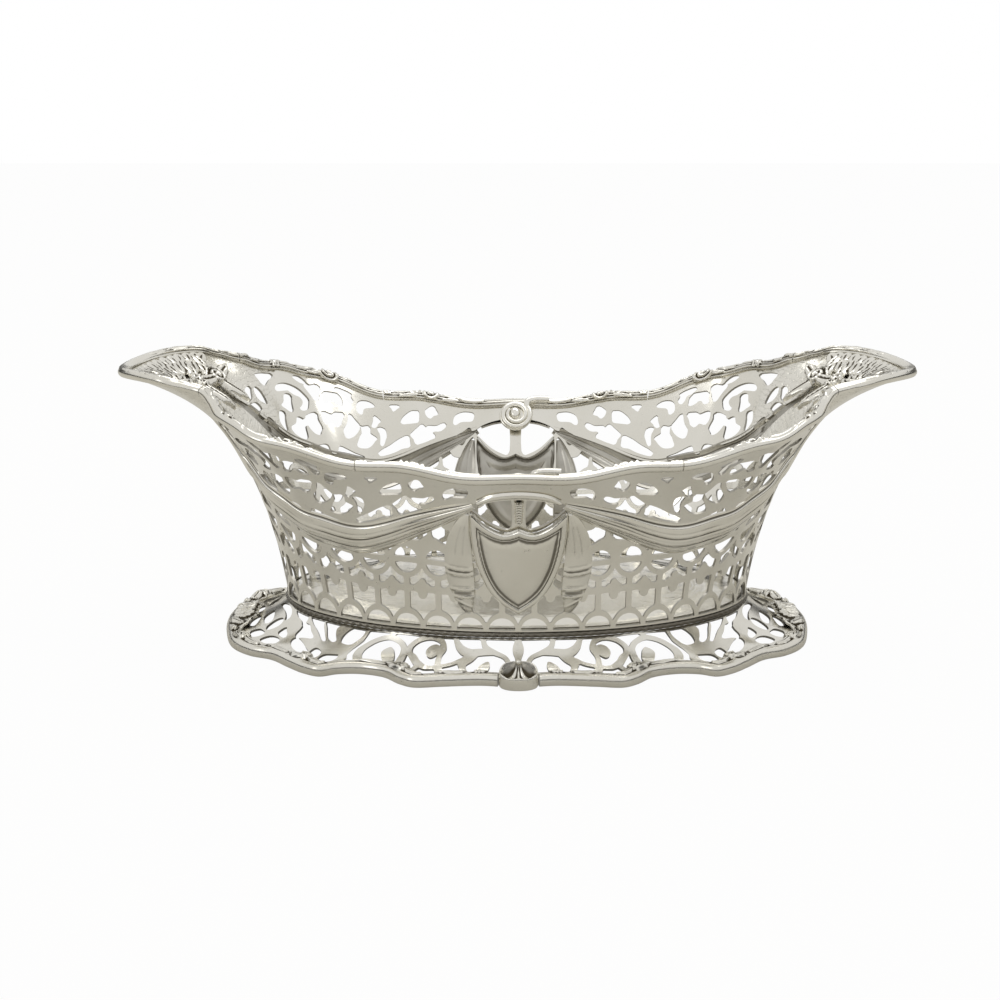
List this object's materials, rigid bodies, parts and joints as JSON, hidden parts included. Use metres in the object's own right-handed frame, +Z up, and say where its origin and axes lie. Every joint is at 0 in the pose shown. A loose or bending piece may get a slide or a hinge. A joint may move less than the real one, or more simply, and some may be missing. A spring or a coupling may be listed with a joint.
{
  "type": "pierced basket",
  "caption": "Boat-shaped pierced metal basket with leaf-shaped end handles, draped swags and shields, on a pierced spreading foot with a scalloped cast border.",
  "frame": {"origin": "centre of the foot's outline on the plane that the foot stands on", "axes": "+X along the basket towards the right handle, +Z up, the front faces -Y"},
  "size_m": [0.301, 0.1548, 0.1056],
  "materials": {
    "sheet_silver": "polished silver sheet, lightly chased",
    "cast_silver": "polished cast silver",
    "field_silver": "polished plain silver field",
    "floor_silver": "plain silver plate, soft polish"
  },
  "bodies": {
    "root": {"bowl_wall": "sheet_silver", "bowl_floor": "floor_silver", "collar": "cast_silver", "foot_flange": "sheet_silver", "foot_border_front_right": "cast_silver", "foot_border_front_left": "cast_silver", "foot_border_back_right": "cast_silver", "foot_border_back_left": "cast_silver", "swag_front_right": "sheet_silver", "swag_front_left": "sheet_silver", "swag_back_right": "sheet_silver", "swag_back_left": "sheet_silver", "shield_tail_front_right": "sheet_silver", "shield_tail_front_left": "sheet_silver", "shield_tail_back_right": "sheet_silver", "shield_tail_back_left": "sheet_silver", "rim_shoulder_front_right": "cast_silver", "rim_shoulder_front_left": "cast_silver", "rim_shoulder_back_right": "cast_silver", "rim_shoulder_back_left": "cast_silver", "rim_middle_front": "cast_silver", "rim_middle_back": "cast_silver", "rim_volute_front": "cast_silver", "rim_volute_back": "cast_silver", "shield_front": "field_silver", "shield_back": "field_silver", "shield_band_front": "sheet_silver", "shield_band_back": "sheet_silver", "band_strap_front": "sheet_silver", "band_strap_back": "sheet_silver", "foot_shell_front": "cast_silver", "foot_shell_back": "cast_silver", "rim_handle_right": "cast_silver", "rim_handle_left": "cast_silver", "handle_leaf_right": "cast_silver", "handle_leaf_left": "cast_silver"}
  },
  "joints": []
}
